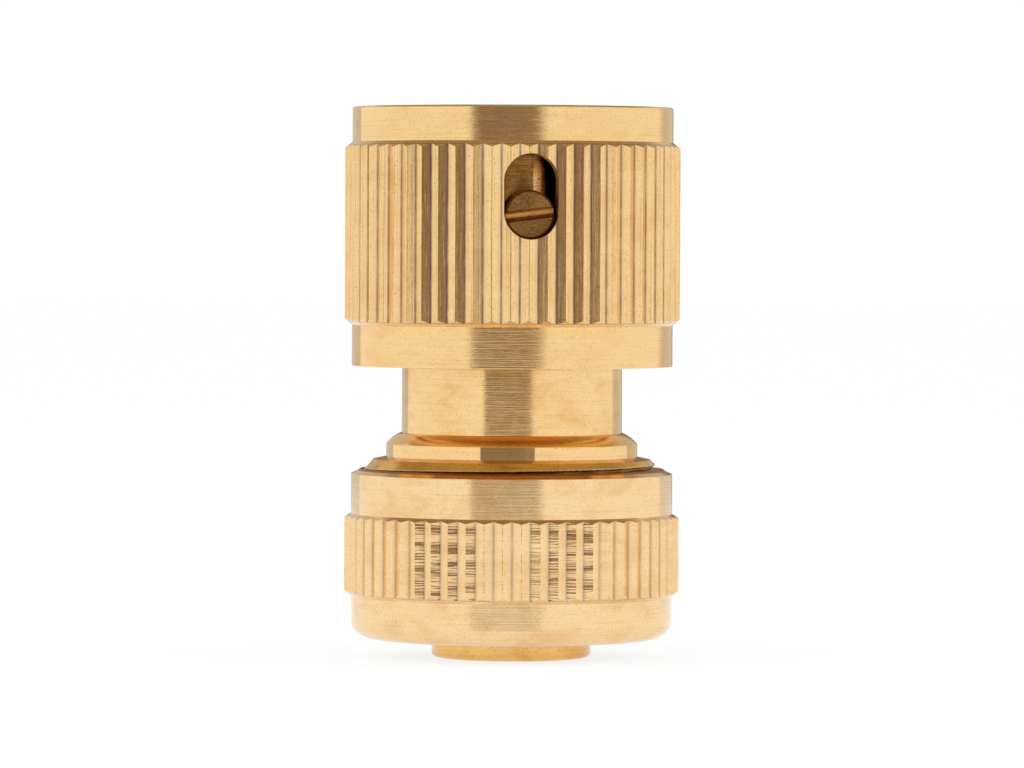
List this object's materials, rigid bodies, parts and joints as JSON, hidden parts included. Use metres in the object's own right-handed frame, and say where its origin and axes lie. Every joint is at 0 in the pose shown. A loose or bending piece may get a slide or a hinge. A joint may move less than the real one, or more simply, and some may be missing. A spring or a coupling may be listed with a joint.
{
  "type": "waterstop hose connector",
  "caption": "Brass quick connector for a garden hose: knurled sliding release collar over a ball-lock socket with a waterstop valve, barbed tail and knurled clamping nut.",
  "frame": {"origin": "on the axis at the end face of the hose tail", "axes": "+Z along the axis from the hose tail to the mouth for the plug, guide screw on the -Y side"},
  "size_m": [0.03, 0.03, 0.0492],
  "materials": {
    "turned_brass": "bare turned brass",
    "spring_steel": "drawn wire",
    "ball_steel": "polished ball",
    "seal_rubber": "matt rubber",
    "acetal": "moulded, natural"
  },
  "bodies": {
    "root": {"tail_body": "turned_brass", "socket_body": "turned_brass", "guide_screw": "turned_brass", "collar_spring": "spring_steel", "spring_seat_ring": "turned_brass", "retaining_ring": "spring_steel", "valve_spring": "spring_steel", "valve_guide": "acetal", "body_seal": "seal_rubber"},
    "collar": {"release_collar": "turned_brass"},
    "valve": {"valve_plunger": "acetal", "valve_seal": "seal_rubber"},
    "collet": {"grip_collet": "acetal"},
    "nut": {"hose_nut": "turned_brass"},
    "ball_1": {"lock_ball_1": "ball_steel"},
    "ball_2": {"lock_ball_2": "ball_steel"},
    "ball_3": {"lock_ball_3": "ball_steel"},
    "ball_4": {"lock_ball_4": "ball_steel"}
  },
  "joints": [
    {"name": "collar_slide", "type": "slide", "parent": "root", "child": "collar", "axis": [0, 0, -1], "range_m": [0, 0.0032], "stiffness_N_per_m": 600, "springref_m": -0.01, "deforming": ["collar_spring"]},
    {"name": "valve_slide", "type": "slide", "parent": "root", "child": "valve", "axis": [0, 0, -1], "range_m": [0, 0.0036], "stiffness_N_per_m": 350, "springref_m": -0.006, "deforming": ["valve_spring"]},
    {"name": "ball_slide_1", "type": "slide", "parent": "root", "child": "ball_1", "axis": [0.7071, -0.7071, 0], "range_m": [0, 0.0008]},
    {"name": "ball_slide_2", "type": "slide", "parent": "root", "child": "ball_2", "axis": [0.7071, 0.7071, 0], "range_m": [0, 0.0008]},
    {"name": "ball_slide_3", "type": "slide", "parent": "root", "child": "ball_3", "axis": [-0.7071, 0.7071, 0], "range_m": [0, 0.0008]},
    {"name": "ball_slide_4", "type": "slide", "parent": "root", "child": "ball_4", "axis": [-0.7071, -0.7071, 0], "range_m": [0, 0.0008]},
    {"name": "collet_slide", "type": "slide", "parent": "root", "child": "collet", "axis": [0, 0, 1], "range_m": [-0.00676, 0]},
    {"name": "nut_turn", "type": "hinge", "parent": "collet", "child": "nut", "pos_m": [0, 0, 0], "axis": [0, 0, 1], "range_deg": [-1620, 0]}
  ],
  "couplings": [
    {"joint": "ball_slide_1", "follows": "collar_slide", "ratio": 0.25},
    {"joint": "ball_slide_2", "follows": "collar_slide", "ratio": 0.25},
    {"joint": "ball_slide_3", "follows": "collar_slide", "ratio": 0.25},
    {"joint": "ball_slide_4", "follows": "collar_slide", "ratio": 0.25},
    {"joint": "collet_slide", "follows": "nut_turn", "m_per_rad": 0.00023873}
  ]
}
